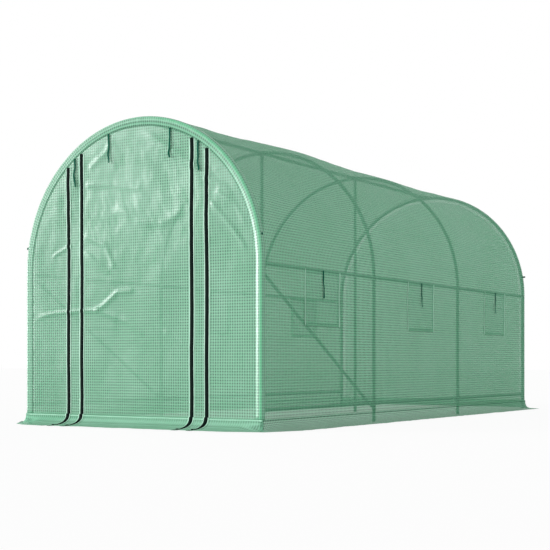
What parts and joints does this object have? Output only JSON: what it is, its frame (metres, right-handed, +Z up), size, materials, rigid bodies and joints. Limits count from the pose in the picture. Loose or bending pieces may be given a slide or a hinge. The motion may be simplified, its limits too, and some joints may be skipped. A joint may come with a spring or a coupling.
{
  "type": "polytunnel greenhouse",
  "caption": "Walk-in polytunnel greenhouse: steel tube hoops and rails under a green reinforced sheet cover, zipped door end, netted side windows with flaps, and a ground skirt.",
  "frame": {"origin": "On the ground, in the middle of the tunnel's plan. The joint faces of the legs' feet and the skirt's edge lie in Z = 0.", "axes": "+X to the right of someone who looks at the door end, across the tunnel; +Y from the door end along the tunnel to the back end; +Z up."},
  "size_m": [2.4052, 4.9352, 2.0776],
  "materials": {
    "frame_steel": "satin",
    "joint_plastic": "matte",
    "cover_sheet": "satin",
    "insect_net": "matte",
    "zip_black": "matte",
    "webbing": "matte"
  },
  "bodies": {
    "root": {"back_hem": "cover_sheet", "back_panel": "cover_sheet", "back_skirt": "cover_sheet", "base_rail_joints": "joint_plastic", "door_left_strip": "cover_sheet", "door_panel": "cover_sheet", "door_right_strip": "cover_sheet", "door_ties": "webbing", "front_centre_post": "frame_steel", "front_hem": "cover_sheet", "front_left_panel": "cover_sheet", "front_right_panel": "cover_sheet", "front_skirt": "cover_sheet", "hoop_1_arch": "frame_steel", "hoop_1_legs": "frame_steel", "hoop_2_arch": "frame_steel", "hoop_2_legs": "frame_steel", "hoop_3_arch": "frame_steel", "hoop_3_legs": "frame_steel", "hoop_4_arch": "frame_steel", "hoop_4_legs": "frame_steel", "inner_zips": "zip_black", "left_base_rail": "frame_steel", "left_brace": "frame_steel", "left_side_rail": "frame_steel", "left_skirt": "cover_sheet", "left_wall": "cover_sheet", "left_window_flaps": "cover_sheet", "left_window_nets": "insect_net", "left_window_ties": "webbing", "outer_zips": "zip_black", "rear_centre_post": "frame_steel", "ridge_joints": "joint_plastic", "ridge_rail": "frame_steel", "right_base_rail": "frame_steel", "right_brace": "frame_steel", "right_side_rail": "frame_steel", "right_skirt": "cover_sheet", "right_wall": "cover_sheet", "right_window_flaps": "cover_sheet", "right_window_nets": "insect_net", "right_window_ties": "webbing", "roof_bay_1": "cover_sheet", "roof_bay_2": "cover_sheet", "roof_bay_3": "cover_sheet", "side_rail_joints": "joint_plastic"}
  },
  "joints": []
}
